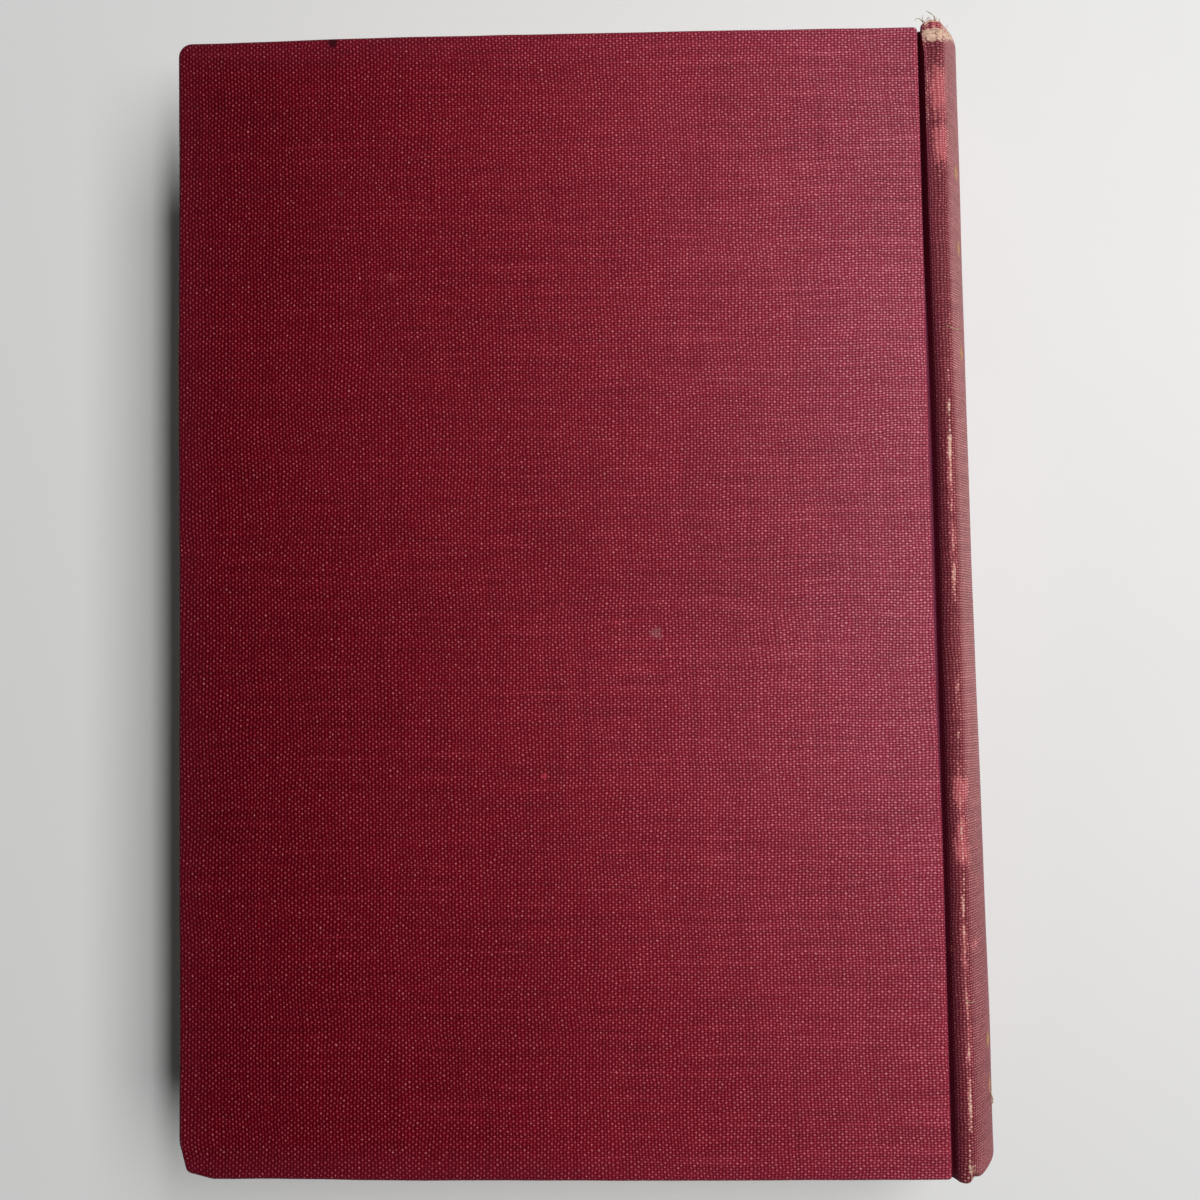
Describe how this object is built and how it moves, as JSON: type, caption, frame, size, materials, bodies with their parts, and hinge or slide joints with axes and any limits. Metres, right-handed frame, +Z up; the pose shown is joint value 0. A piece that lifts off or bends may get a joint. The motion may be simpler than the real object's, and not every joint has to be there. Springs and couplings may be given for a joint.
{
  "type": "hardback book",
  "caption": "Worn cloth-bound hardback book with a rounded spine and hollow back, lying closed; both covers open on their cloth joints.",
  "frame": {"origin": "centre of the closed book's footprint, on the surface that its front cover rests on", "axes": "+X from fore-edge to spine, +Y from tail to head, +Z up to the back cover"},
  "size_m": [0.1398, 0.1988, 0.0302],
  "materials": {
    "page_paper": "matte",
    "endpaper": "matte",
    "band_thread": "matte",
    "mull": "matte",
    "kraft_lining": "matte",
    "inlay_card": "matte",
    "book_cloth": "satin",
    "binders_board": "matte"
  },
  "bodies": {
    "block": {"text_block": "page_paper", "front_flyleaf": "endpaper", "back_flyleaf": "endpaper", "head_band": "band_thread", "tail_band": "band_thread", "spine_mull": "mull", "spine_lining": "kraft_lining", "spine_inlay": "inlay_card", "spine_cloth": "book_cloth"},
    "front_cover": {"front_board": "binders_board", "front_cover_cloth": "book_cloth", "front_mull_flap": "mull", "front_pastedown": "endpaper"},
    "back_cover": {"back_board": "binders_board", "back_cover_cloth": "book_cloth", "back_mull_flap": "mull", "back_pastedown": "endpaper"}
  },
  "joints": [
    {"name": "back_cover_hinge", "type": "hinge", "parent": "block", "child": "back_cover", "pos_m": [0.0611, 0, 0.0302], "axis": [0, 1, 0], "range_deg": [0, 178]},
    {"name": "front_cover_hinge", "type": "hinge", "parent": "block", "child": "front_cover", "pos_m": [0.0611, 0, 0], "axis": [0, -1, 0], "range_deg": [0, 178]}
  ]
}
